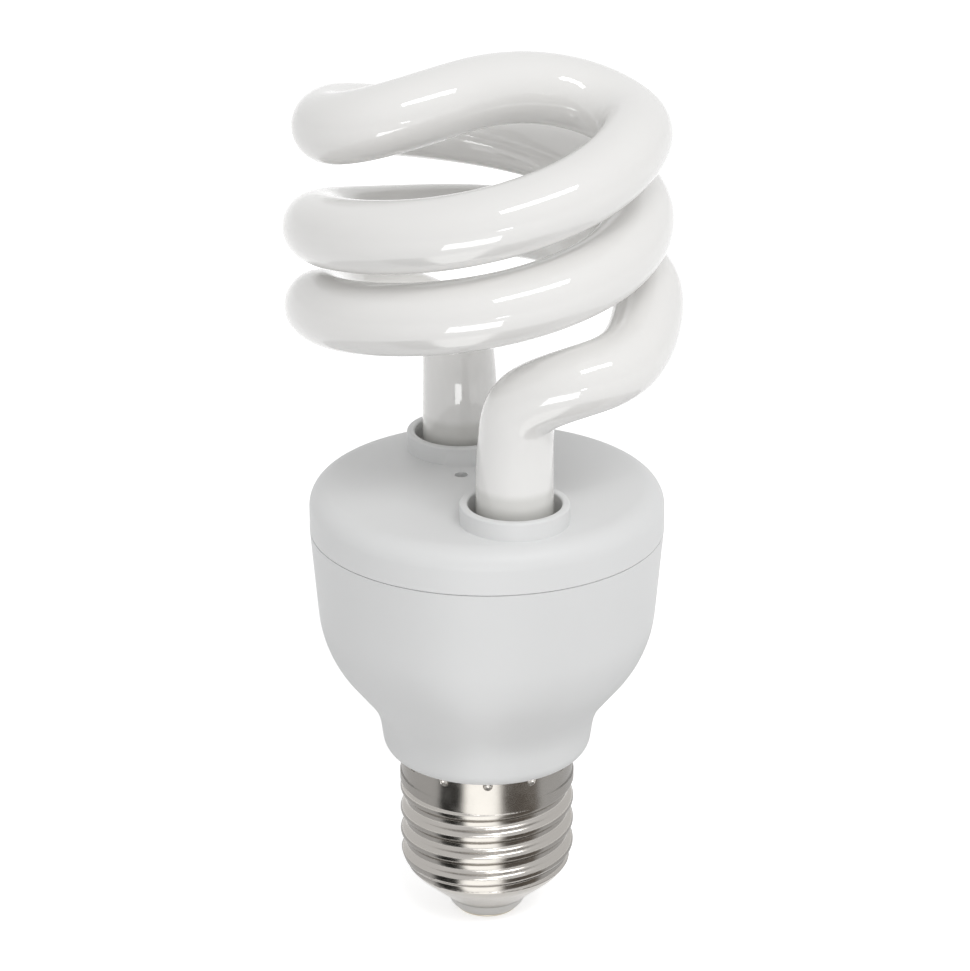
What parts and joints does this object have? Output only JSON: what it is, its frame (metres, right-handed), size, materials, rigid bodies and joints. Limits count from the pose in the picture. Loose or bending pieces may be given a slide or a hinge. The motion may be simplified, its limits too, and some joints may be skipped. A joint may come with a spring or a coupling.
{
  "type": "spiral fluorescent bulb",
  "caption": "Self-ballasted fluorescent lamp with a milky double-spiral tube, a white housing and an E27 screw cap.",
  "frame": {"origin": "centre of the centre contact's flat face, on the lamp's axis", "axes": "+Z along the lamp's axis from the cap to the crown of the tube, -Y towards the tube's front leg"},
  "size_m": [0.0579, 0.0568, 0.1345],
  "materials": {
    "coated_glass": "gloss",
    "white_plastic": "satin",
    "nickel_plate": "gloss",
    "insulator": "satin",
    "contact_metal": "satin",
    "board": "satin",
    "capacitor_sleeve": "gloss",
    "ferrite": "matte",
    "bobbin_plastic": "matte",
    "winding_copper": "satin",
    "toroid_green": "satin",
    "wire_enamel": "gloss",
    "moulded_black": "matte",
    "film_red": "gloss",
    "film_green": "gloss",
    "disc_brown": "satin",
    "disc_blue": "satin",
    "resistor_body": "satin",
    "diode_glass": "gloss",
    "tinned_wire": "satin",
    "sleeve_fibre": "matte",
    "cement": "matte"
  },
  "bodies": {
    "root": {"discharge_tube": "coated_glass", "tube_cover": "white_plastic", "ballast_housing": "white_plastic", "screw_shell": "nickel_plate", "cap_insulator": "insulator", "centre_contact": "contact_metal", "circuit_board": "board", "smoothing_capacitor": "capacitor_sleeve", "choke_core": "ferrite", "choke_bobbin": "bobbin_plastic", "choke_winding": "winding_copper", "drive_toroid": "toroid_green", "toroid_windings": "wire_enamel", "upper_transistor": "moulded_black", "lower_transistor": "moulded_black", "resonance_capacitor": "film_red", "blocking_capacitor": "film_green", "trigger_capacitor": "disc_blue", "filter_inductor_core": "ferrite", "filter_inductor_winding": "winding_copper", "rectifier_diodes": "moulded_black", "resistors": "resistor_body", "trigger_diode": "diode_glass", "thermistor": "disc_brown", "fuse_resistor": "resistor_body", "fuse_sleeve": "sleeve_fibre", "shell_wire": "tinned_wire", "wrap_pins": "tinned_wire", "tube_leads": "tinned_wire", "tube_cement_front": "cement", "tube_cement_back": "cement"}
  },
  "joints": []
}
